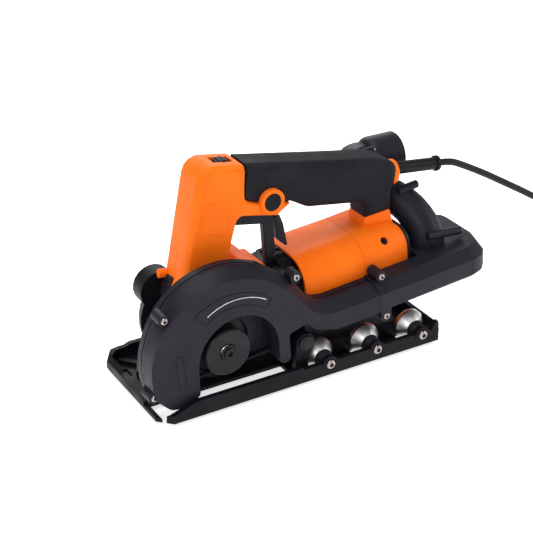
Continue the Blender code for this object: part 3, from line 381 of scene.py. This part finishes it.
def turned(name, rows, start, end, body, slot, segments=48, smooth=35):
    """A piece turned about the line from start to end.

    Each row is (distance along the line, radius). Where it isn't round, the number of its flat sides comes third.
    """
    start, end = Vector(start), Vector(end)
    line, side, third = across_line(start, end)
    points, faces = [], []
    for row in rows:
        height, r = row[0] * MM, row[1] * MM
        for k in range(segments):
            a = 2 * pi * k / segments
            reach = r
            if len(row) > 2:
                half = pi / row[2]
                reach = r * cos(half) / cos((a % (2 * half)) - half)
            points.append(start + line * height + (side * cos(a) + third * sin(a)) * reach)
    for n in range(len(rows) - 1):
        for k in range(segments):
            j = (k + 1) % segments
            low = n * segments
            faces.append((low + k, low + j, low + segments + j, low + segments + k))
    first = list(range(segments))
    last = [len(points) - segments + k for k in range(segments)]
    if rows[0] != rows[-1]:
        faces += [tuple(first), tuple(last)]
    return made_object(name, points, faces, body, slot, smooth, start)


def swept(name, line, r, body, slot, sides):
    """A round bar of radius r along a line of points in metres, square to its ends."""
    line = [Vector(p) for p in line]
    points, faces = [], []
    side = None
    for k, p in enumerate(line):
        ahead = (line[min(k + 1, len(line) - 1)] - line[max(k - 1, 0)]).normalized()
        if side is None:
            side = ahead.cross(Vector((0, 0, 1) if abs(ahead.z) < 0.9 else (1, 0, 0)))
        side = (side - ahead * side.dot(ahead)).normalized()
        up = ahead.cross(side)
        for n in range(sides):
            a = 2 * pi * n / sides
            points.append(p + (side * cos(a) + up * sin(a)) * r * MM)
    for k in range(len(line) - 1):
        for n in range(sides):
            m = (n + 1) % sides
            faces.append((k * sides + n, k * sides + m, (k + 1) * sides + m, (k + 1) * sides + n))
    faces.append(tuple(range(sides))[::-1])
    faces.append(tuple(range(len(points) - sides, len(points))))
    return made_object(name, points, faces, body, slot, 60)


def smooth_line(points, steps):
    """Points on one smooth curve through the given points."""
    points = [Vector(p) for p in points]
    ends = [points[0] * 2 - points[1]] + points + [points[-1] * 2 - points[-2]]
    out = []
    for k in range(1, len(ends) - 2):
        p0, p1, p2, p3 = ends[k - 1 : k + 3]
        for n in range(steps):
            t = n / steps
            curve = p1 * 2 + (p2 - p0) * t
            curve += (p0 * 2 - p1 * 5 + p2 * 4 - p3) * t**2
            curve += (p1 * 3 - p0 - p2 * 3 + p3) * t**3
            out.append(curve / 2)
    return out + [points[-1]]


def cleaned(node, width):
    """A copy of a CAD node's mesh, welded, with its flat faces joined. Without a bevel it is welded further."""
    mesh = nodes[node].data.copy()
    if "custom_normal" in mesh.attributes:
        mesh.attributes.remove(mesh.attributes["custom_normal"])
    work = bmesh.new()
    work.from_mesh(mesh)
    bmesh.ops.remove_doubles(work, verts=work.verts, dist=WELD)
    if not width:
        bmesh.ops.remove_doubles(work, verts=work.verts, dist=WIDE_WELD)
        bmesh.ops.dissolve_degenerate(work, dist=THIN_FACE, edges=work.edges)
    bmesh.ops.dissolve_limit(work, angle_limit=FLAT_ANGLE, verts=work.verts, edges=work.edges)
    work.to_mesh(mesh)
    work.free()
    mesh.shade_smooth()
    mesh.set_sharp_from_angle(angle=SHARP_ANGLE)
    return mesh


def refined(node, width):
    """A copy of a CAD node with its sharp edges rounded by width, which stands for that node."""
    mesh = cleaned(node, width)
    made = bpy.data.objects.new(node + "_shell", mesh)
    scene.collection.objects.link(made)
    if width:
        bevel = made.modifiers.new("bevel", "BEVEL")
        bevel.width = width * MM
        bevel.segments = BEVEL_SEGMENTS
        bevel.limit_method = "ANGLE"
        bevel.angle_limit = SHARP_ANGLE
    else:
        turn = nodes[node].matrix_world.to_3x3()
        for face in mesh.polygons:
            if abs((turn @ face.normal).normalized().y) > FACES_ACROSS:
                face.use_smooth = False
    weight = made.modifiers.new("weight", "WEIGHTED_NORMAL")
    weight.keep_sharp = not width
    weight.weight = NORMAL_WEIGHT
    shown = made.evaluated_get(bpy.context.evaluated_depsgraph_get())
    final = bpy.data.meshes.new_from_object(shown)
    made.modifiers.clear()
    made.data = final
    slot = SLOT_OF[node]
    final.materials.clear()
    final.materials.append(MATERIALS[slot])
    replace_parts(made, node)
    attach(made, BODY_OF[node])
    return made


SLOT_OF = {row["node"]: row["material_slot"] for row in frame["record"]["subparts"]}
BODY_OF = {n: o["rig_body"] for n, o in nodes.items()}

add_camera()
MATERIALS = make_materials()


# ---------------------------------------------------------------- cord


def coil_line():
    """The coil's turns, layer on layer, from where the lead meets it to its top."""
    layer_points = round(LAYER_TURNS * TURN_POINTS)
    rise_points = round(RISE_TURNS * TURN_POINTS)
    turn, out = 0.0, []
    for layer, z in enumerate(LAYER_Z):
        first, last = (COIL_OUTER_R, COIL_INNER_R) if layer % 2 == 0 else (COIL_INNER_R, COIL_OUTER_R)
        for k in range(layer_points + 1):
            share = k / layer_points
            out.append((turn + LAYER_TURNS * share, first + (last - first) * share, z))
        turn += LAYER_TURNS
        if layer == len(LAYER_Z) - 1:
            break
        for k in range(1, rise_points):
            share = k / rise_points
            ease = share * share * (3 - 2 * share)
            out.append((turn + RISE_TURNS * share, last, z + (LAYER_Z[layer + 1] - z) * ease))
        turn += RISE_TURNS
    line = []
    for t, r, z in out:
        a = pi / 2 - 2 * pi * t
        line.append((COIL_AT[0] + r * cos(a), COIL_AT[1] + r * sin(a), z))
    return line


def add_cord():
    """The lead in one piece: free from the relief to the floor, then coiled, then back to its plug."""
    route = [
        (390.1, 85, 169.6),
        (404.0, 85, 167.8),
        (418.0, 85, 163.0),
        (451.0, 85, 145.4),
        (482.0, 85, 127.1),
        (533.6, 85, 95.5),
        (575.0, 86, 67.0),
        (612.0, 90, 37.5),
        (640.0, 95, 16.5),
        (662.0, 99.5, 4.2),
        (680.0, 102.2, -0.2),
        (700.0, 103.0, -0.1),
    ]
    lead = smooth_line(route, 3)
    coil = coil_line()
    tail = [(733, 102.9, 24.6), (744.5, 103, 24.3), (757.0, 103, 23.5)]
    line = [base(*p) for p in lead + coil + tail]
    cord = swept("power_lead", line, CORD_R, None, "cord_rubber", CORD_SIDES)
    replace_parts(cord, "power_cord", "cord_coil")
    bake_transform(cord)
    tie = add_tie()
    plug = add_plug()


def add_tie():
    """A hook-and-loop strap round the coil's turns."""
    middle = (COIL_OUTER_R + COIL_INNER_R) / 2
    half_r = (COIL_OUTER_R - COIL_INNER_R) / 2 + CORD_R + TIE_GAP
    low, high = LAYER_Z[0] - CORD_R, LAYER_Z[-1] + CORD_R + TIE_GAP
    outline = []
    for r, z, start in ((1, 1, 0), (-1, 1, 90), (-1, -1, 180), (1, -1, 270)):
        centre = (middle + r * (half_r - TIE_CORNER), high - TIE_CORNER if z > 0 else low + TIE_CORNER)
        outline += arc(*centre, TIE_CORNER, start, start + 90, 15)
    outer = []
    for s, z in outline:
        grow_s = TIE_THICK * (1 if s > middle else -1)
        grow_z = TIE_THICK if z > (low + high) / 2 else 0.0
        outer.append((s + grow_s * abs(s - middle) / half_r, z + grow_z))
    a = radians(TIE_ANGLE)
    out, side = Vector((cos(a), sin(a))), Vector((-sin(a), cos(a)))
    count = len(outline)
    points, faces = [], []
    for across in (-TIE_WIDE / 2, TIE_WIDE / 2):
        for ring in (outline, outer):
            for s, z in ring:
                flat = out * s + side * across
                points.append(base(COIL_AT[0] + flat.x, COIL_AT[1] + flat.y, z))
    for k in range(count):
        j = (k + 1) % count
        faces.append((k, j, count + j, count + k))
        faces.append((2 * count + k, 3 * count + k, 3 * count + j, 2 * count + j))
        faces.append((k, 2 * count + k, 2 * count + j, j))
        faces.append((count + k, count + j, 3 * count + j, 3 * count + k))
    return made_object("lead_tie", points, faces, "base", "soft_grip")


def add_plug():
    """A two-pin plug with a ribbed neck, its pins in bright metal."""
    way = Vector((cos(PLUG_DROP), 0, -sin(PLUG_DROP)))
    start = base(755.6, 103, 23.7)
    rows = [(0, 4.4)]
    for k in range(4):
        low = 0.4 + 4.0 * k
        r = 5.0 + 0.4 * k
        rows += [(low, r + 0.5), (low + 2.6, r + 0.6), (low + 2.8, r - 0.4), (low + 3.8, r - 0.4)]
    rows += [(16.8, 7.2), (18.4, 10.6), (20, 13.4), (22, 14.0), (40, 14.5), (42.2, 17.6), (43.0, 18.4)]
    rows += [(49.0, 18.4), (49.8, 17.8), (50, 16.5)]
    body = turned("plug_body", rows, start, start + way * PLUG_LENGTH * MM, "base", "cord_rubber", 40)
    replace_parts(body, "plug")
    out = [body]
    for number, side in ((1, -9.5), (2, 9.5)):
        root = start + way * (PLUG_LENGTH - 0.5) * MM + Vector((0, side * MM, 0))
        pin_rows = [(0, 2.4), (0.1, 2.4), (18.2, 2.4), (19.2, 1.9), (19.5, 1.2)]
        end = root + way * MM
        out.append(turned(f"plug_pin_{number}", pin_rows, root, end, "base", "fastener_nickel", 20))
    return out


add_cord()
add_light()

# ---------------------------------------------------------------- rollers and screws

SOCKET_SHARE = 0.52
RAIL_SCREW_STANDS = 0.9
RAIL_SCREW_R = 5.3
RAIL_SCREW_DEEP = 2.5
CASE_SCREW_R = 3.9
CASE_SCREW_DEEP = 1.9
FAR_SCREW_R = 3.4


def add_near_rollers():
    """Each near roller as a bright bevelled disc with a black nose."""
    for number in (1, 2, 3):
        node = f"near_roller_{number}"
        low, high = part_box(node)
        middle = (low + high) / 2
        at = Vector((middle.x, BASE_CORNER.y, middle.z))
        end = at + Vector((0, 1, 0)) * MM
        body = BODY_OF[node]
        steel = [(14.3, 4.3), (14.3, 10.2), (14.6, 10.9), (23.4, 17.55), (24.2, 17.95), (28.4, 18.0)]
        steel += [(29.1, 17.6), (29.4, 16.6), (29.4, 4.3), (14.3, 4.3)]
        disc = turned(f"roller_disc_{number}", steel, at, end, body, "polished_steel", 96, 25)
        nose = [(7.2, 4.3), (7.2, 5.9), (7.6, 6.5), (13.2, 9.9), (14.2, 10.3), (14.2, 4.3), (7.2, 4.3)]
        cone = turned(f"roller_nose_{number}", nose, at, end, body, "moulded_black", 64, 25)
        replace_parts(disc, node)
        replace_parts(cone, node)


def socket_screw(name, head, out_way, r, deep, body):
    """A round-topped screw head with a six-sided socket, standing on head and facing out_way, with a dark plug in
    the socket as painted shade.
    """
    way = Vector(out_way).normalized()
    start = Vector(head)
    key = r * SOCKET_SHARE
    rows = [(-0.4, r * 0.97), (0, r), (deep * 0.35, r * 0.98), (deep * 0.7, r * 0.88)]
    rows += [(deep * 0.93, r * 0.72), (deep, key * 1.16), (deep * 0.97, key, 6), (deep * 0.3, key * 0.96, 6)]
    rows += [(deep * 0.18, key * 0.5)]
    # The dark steel plug deep in the socket is painted shade, which darkens the bottom of the recess.
    plug = [(deep * 0.1, key * 0.5), (deep * 0.2, key * 0.9)]
    plug += [(deep * 0.45, key * 0.9), (deep * 0.4, key * 0.3)]
    turned(name + "_socket_shade", plug, start, start + way * MM, body, "dark_steel", 18)
    return turned(name, rows, start, start + way * MM, body, "fastener_nickel", 36, 40)


def add_rail_screws():
    """The near rollers' screws: a head on the rail and a shank through the roller."""
    for number in (1, 2, 3):
        node = f"near_roller_bolt_{number}"
        low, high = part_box(node)
        middle = (low + high) / 2
        seat = Vector((middle.x, BASE_CORNER.y - RAIL_SCREW_STANDS * MM, middle.z))
        screw = socket_screw(f"rail_screw_{number}", seat, (0, -1, 0), RAIL_SCREW_R, RAIL_SCREW_DEEP, "base")
        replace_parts(screw, node)
        shank = turned(
            f"rail_screw_shank_{number}",
            [(0, 4.0), (0.1, 4.0), (36.5, 4.0), (36.9, 3.6)],
            seat,
            seat + Vector((0, 1, 0)) * MM,
            "base",
            "dark_steel",
            24,
        )
        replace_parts(shank, node)


def add_boss_screws():
    """The screws that show in the bosses of the guard, ducts and covers."""
    near = Vector((0, -1, 0))
    places = [
        (unit(-155.6, 12.2, 86.6), near),
        (unit(-176.4, 12.2, 4.0), near),
        (unit(-3.5, 16.2, 79.0), near),
        (unit(101.5, 18.2, 40.2), near),
        (unit(99.5, 8.2, -3.0), near),
        (unit(226, 46, 42.6), unit(226, 46, 42.6) - unit(180, 44, 51)),
        (unit(196, 85, 94.5), unit(196, 85, 94.5) - unit(171, 85, 93)),
        (unit(158, 112, 137.5), unit(1, 0, 0) - unit(0, 0, 0)),
    ]
    for number, (at, way) in enumerate(places, 1):
        socket_screw(f"case_screw_{number}", at, way, CASE_SCREW_R, CASE_SCREW_DEEP, "motor_unit")


add_near_rollers()
add_rail_screws()
add_boss_screws()

# ---------------------------------------------------------------- small details

BLADE_AXIS = (-90.0, 24.0)
ALONG_Y = Vector((0, 1, 0))
# Places well outside of the tool on its near and far side, from where lines are laid onto it.
NEAR_OUTSIDE = -60
FAR_OUTSIDE = 220
# Two circles round the blade's axis, inside and outside of the guard's rim. A place on the rim counts up to
# RIM_LIMIT from the inner one, and a line on it lies RIM_DEPTH under the surface.
RIM_INNER = 40
RIM_OUTER = 130
RIM_LIMIT = 53.5
RIM_DEPTH = 0.25


def laid(node, line, spacing=2.5, far=False):
    """Places on the near or the far side of a CAD node, along a line of (u, w) points."""
    thing = nodes[node]
    inward = thing.matrix_world.inverted()
    way = inward.to_3x3() @ (-ALONG_Y if far else ALONG_Y)
    outside = FAR_OUTSIDE if far else NEAR_OUTSIDE
    out = []
    for (u0, w0), (u1, w1) in zip(line, line[1:]):
        count = max(1, ceil(sqrt((u1 - u0) ** 2 + (w1 - w0) ** 2) / spacing))
        for k in range(count + 1):
            share = k / count
            u, w = u0 + (u1 - u0) * share, w0 + (w1 - w0) * share
            hit, place, _, _ = thing.ray_cast(inward @ unit(u, outside, w), way.normalized())
            if hit and (k or not out):
                out.append(thing.matrix_world @ place)
    return out


def spiral(r_start, r_end, start, end, step=3.0):
    """(u, w) points round the blade's axis, going evenly from one radius to another."""
    count = ceil(abs(end - start) / step)
    line = []
    for k in range(count + 1):
        a = radians(start + (end - start) * k / count)
        r = r_start + (r_end - r_start) * k / count
        line.append((BLADE_AXIS[0] + r * cos(a), BLADE_AXIS[1] + r * sin(a)))
    return line


def rim_line(y, start, end):
    """Places round the rim of the guard's cover, a little under its surface, from one angle to another."""
    thing = nodes["guard_near_cover"]
    inward = thing.matrix_world.inverted()
    out = []
    inner_circle = spiral(RIM_INNER, RIM_INNER, start, end)
    outer_circle = spiral(RIM_OUTER, RIM_OUTER, start, end)
    for inner, outer in zip(inner_circle, outer_circle):
        far, near = unit(outer[0], y, outer[1]), unit(inner[0], y, inner[1])
        way = (near - far).normalized()
        hit, place, _, _ = thing.ray_cast(inward @ far, (inward.to_3x3() @ way).normalized())
        place = thing.matrix_world @ place
        if hit and (place - near).length < RIM_LIMIT * MM:
            out.append(place + way * RIM_DEPTH * MM)
    return out


def add_guard_details():
    """The guard's panel edges, its bright stripe, the lines round its rim and the rings of its back."""
    frame_line = spiral(67, 49.5, 120.5, 119.5, 1) + spiral(49.5, 58, 119.5, 41) + spiral(58, 70, 41, 41.5, 1)
    frame_line += spiral(70, 67, 41.5, 120.5)
    swept("guard_panel_edge", laid("guard_near_cover", frame_line), 0.42, "motor_unit", "cast_black", 8)
    stripe = spiral(56.5, 66.5, 112, 47)
    swept("guard_stripe", laid("guard_near_cover", stripe), 0.5, "motor_unit", "polished_steel", 8)
    leg = [(-150.4, 4.8), (-150.4, 42.8), (-142.2, 42.0), (-142.2, 4.8), (-150.4, 4.8)]
    swept("guard_leg_panel_edge", laid("guard_near_cover", leg), 0.35, "motor_unit", "cast_black", 8)
    for number, y in enumerate((22.8, 26.6), 1):
        swept(f"guard_rim_line_{number}", rim_line(y, 190, 38), 0.4, "motor_unit", "cast_black", 8)
    for number, (r, y) in enumerate(((46.5, 35.4), (50.5, 35.4), (33.5, 32.0)), 1):
        ring = [unit(u, y, w) for u, w in spiral(r, r, -38, 70 if r > 40 else 62)]
        swept(f"guard_back_ring_{number}", ring, 0.8, "motor_unit", "moulded_black", 8)


def add_flange_bolt():
    """The socket-headed bolt in the outer flange."""
    u, w = BLADE_AXIS
    rows = [(0, 4.0), (17.0, 4.0), (17.1, 8.6), (18.4, 8.6), (18.9, 8.1), (18.9, 6.9), (17.6, 6.6)]
    rows += [(17.6, 6.0), (20.0, 6.0), (20.6, 5.4), (20.6, 3.7), (20.5, 3.4, 6), (18.2, 3.3, 6), (18.0, 1.0)]
    body = BODY_OF["flange_bolt"]
    bolt = turned("flange_bolt_head", rows, unit(u, 29, w), unit(u, 8, w), body, "dark_steel", 48)
    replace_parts(bolt, "flange_bolt")


def add_port():
    """The dust port and the end of its pipe, as one smooth sleeve with a rounded back."""
    start, end = unit(156.0, 127, 121.0), unit(196, 127, 117.5)
    rows = [(0, 15.0), (0.6, 18.2), (2.4, 21.2), (5.0, 23.2), (8.0, 24.0), (39.2, 24.0), (40.0, 23.4)]
    rows += [(40.0, 21.6), (39.4, 21.0), (24.8, 21.0), (24.8, 20.8), (8.0, 20.8), (4.0, 18.0), (0, 15.0)]
    sleeve = turned("dust_port_sleeve", rows, start, end, "motor_unit", "moulded_black", 72, 30)
    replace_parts(sleeve, "dust_port")


def add_handle_details():
    """The panel line of the column, the boss and strap at its foot, and the ribs of the trigger."""
    panel = [(-75.3, 168.3), (-46.6, 160.6), (-54.8, 127.6), (-83.2, 136.2), (-75.3, 168.3)]
    swept("column_panel_edge", laid("handle_shell_near", panel), 0.6, "motor_unit", "housing_orange", 8)
    boss = [unit(-107.0, 102.0, 82.0), unit(-117.0, 103.0, 84.0)]
    swept("column_foot_boss", boss, 4.8, "motor_unit", "housing_orange", 20)
    points = []
    for lift in (-0.4, 1.8):
        for y, w in ((99.5, 83.0), (84.0, 84.5), (91.0, 63.0), (105.0, 57.5)):
            points.append(unit(-116.2 + 0.282 * (w - 56.5) - lift, y, w))
    faces = [(0, 1, 2, 3), (7, 6, 5, 4), (0, 4, 5, 1), (1, 5, 6, 2), (2, 6, 7, 3), (3, 7, 4, 0)]
    made_object("column_foot_strap", points, faces, "motor_unit", "moulded_black")
    for k in range(7):
        rise = 4.0 * k
        w = 86.0 + rise
        edge = laid("trigger", [(20.5 - 0.32 * rise, w), (12.0 - 0.2 * rise, w)])
        if len(edge) > 1:
            swept(f"trigger_rib_{k + 1}", edge, 0.45, BODY_OF["trigger"], "moulded_black", 6)


# The flat side of the column, as (u, w) points, and the places across of its near and far side.
COLUMN_FACE = [(-103.0, 72), (-72.4, 184), (-70.6, 188), (-67.6, 191), (-63.5, 193), (-38, 193), (-33, 190.5)]
COLUMN_FACE += [(-30.6, 187.5), (-32.0, 172), (-31.2, 160), (-33, 150), (-43.2, 136), (-47.8, 124)]
COLUMN_FACE += [(-54.8, 100), (-57.4, 88), (-60, 72)]
COLUMN_SIDES = (("near", 62.0, -1), ("far", 108.0, 1))
SKIN_LIFT = 0.12
SKIN_ROOT = -0.5


def add_column_skins():
    """A thin clean skin on each flat side of the column, over the folded thin faces of the shell there."""
    count = len(COLUMN_FACE)
    for name, face_y, way in COLUMN_SIDES:
        points = [unit(u, face_y + way * lift, w) for lift in (SKIN_LIFT, SKIN_ROOT) for u, w in COLUMN_FACE]
        faces = [tuple(range(count)), tuple(range(2 * count - 1, count - 1, -1))]
        faces += [(k, (k + 1) % count, count + (k + 1) % count, count + k) for k in range(count)]
        made_object(f"column_skin_{name}", points, faces, "motor_unit", "housing_orange")


def add_far_details():
    """Screws in the far cover and the handle, and black bars as painted shade for the air slots of the motor's far
    side.
    """
    for number, a in enumerate((35, 125, 215, 305), 1):
        u = BLADE_AXIS[0] + 34 * cos(radians(a))
        w = BLADE_AXIS[1] + 8 + 34 * sin(radians(a))
        for seat in laid("gearbox_far_cover", [(u, w), (u + 0.1, w)], 5, far=True)[:1]:
            socket_screw(f"far_cover_screw_{number}", seat, ALONG_Y, FAR_SCREW_R, 1.6, "motor_unit")
    for number, (u, w) in enumerate(((-62, 180), (-96, 84), (-6, 140)), 1):
        for seat in laid("handle_shell_far", [(u, w), (u + 0.1, w)], 5, far=True)[:1]:
            socket_screw(f"handle_screw_{number}", seat, ALONG_Y, FAR_SCREW_R, 1.4, "motor_unit")
    # The air slots are black bars laid on the cover: their black is painted shade for the dark openings.
    for number in range(6):
        w = -4.0 + 9.0 * number
        bar = laid("rear_cover", [(104, w), (118, w)], far=True)
        swept(f"air_slot_shade_{number + 1}", bar, 1.3, "motor_unit", "moulded_black", 12)


def add_tail_details():
    """The seams and the ledge of the tail duct."""
    seams = {
        "tail_seam_1": [(116.4, 38.5), (115.5, 34.0), (114.2, 17.7), (114.2, 12.0)],
        "tail_seam_2": [(217.2, 37.5), (215.4, 31.0), (214.0, 26.0), (215.6, 12.0), (216.5, 6.0)],
        "tail_ledge": [(98.0, 37.4), (214.0, 28.0)],
    }
    for name, line in seams.items():
        swept(name, laid("tail_duct", line), 0.3, "motor_unit", "moulded_black", 8)


add_guard_details()
add_flange_bolt()
add_port()
add_handle_details()
add_tail_details()
add_far_details()
add_column_skins()

# ---------------------------------------------------------------- refined copies of the rest

# The width of the rounding of each node's edges. 0 keeps them as they are.
BEVELS = {
    "base_plate": 0.7,
    "front_glide_shoe": 0.5,
    "pivot_bolt_near": 0.35,
    "guard_near_cover": 1.0,
    "guard_back_plate": 0.6,
    "tail_duct": 1.3,
    "dust_pipe": 0.6,
    "gearbox_housing": 0.9,
    "gearbox_far_cover": 1.2,
    "gearbox_top_cover": 1.2,
    "motor_flange_ring": 0.3,
    "motor_housing": 0.4,
    "rear_cover": 0.8,
    "rear_end_cap": 0.8,
    "handle_shell_near": 0.5,
    "handle_shell_far": 0.5,
    "grip_half_near": 0,
    "grip_half_far": 0,
    "support_post": 0.9,
    "cord_relief": 0.3,
    "cord_collar": 1.0,
    "depth_clamp_knob": 1.0,
    "outer_flange": 0.6,
    "trigger": 0.6,
    "lock_button": 0.4,
    "speed_dial": 0.3,
    "brush_cap_near": 0.3,
    "brush_cap_far": 0.3,
    "far_roller_1": 0.4,
    "far_roller_2": 0.4,
}
for node, width in BEVELS.items():
    refined(node, width)

REPLACED = {name for o in scene.objects for name in o.get("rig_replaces", [])}
for name, thing in nodes.items():
    if name not in REPLACED:
        thing.data.materials.clear()
        thing.data.materials.append(MATERIALS[SLOT_OF[name]])

# ---------------------------------------------------------------- floor


def add_floor():
    """A wide white floor that glows a little, so that it shows white."""
    r = FLOOR_REACH
    mesh = bpy.data.meshes.new("floor")
    mesh.from_pydata([(-r, -r, 0), (r, -r, 0), (r, r, 0), (-r, r, 0)], [], [(0, 1, 2, 3)])
    floor = bpy.data.objects.new("floor", mesh)
    scene.collection.objects.link(floor)
    paper = Surface("studio_floor", (0.95, 0.95, 0.95), 0.9, Specular_IOR_Level=0.1)
    paper.paint(paper.colours(paper.noise(3, 2), 0.3, 0.7, (0.94, 0.94, 0.94), (0.96, 0.96, 0.96)))
    paper.shader.inputs["Emission Color"].default_value = (*WHITE, 1)
    paper.shader.inputs["Emission Strength"].default_value = FLOOR_GLOW
    mesh.materials.append(paper.material)


add_floor()
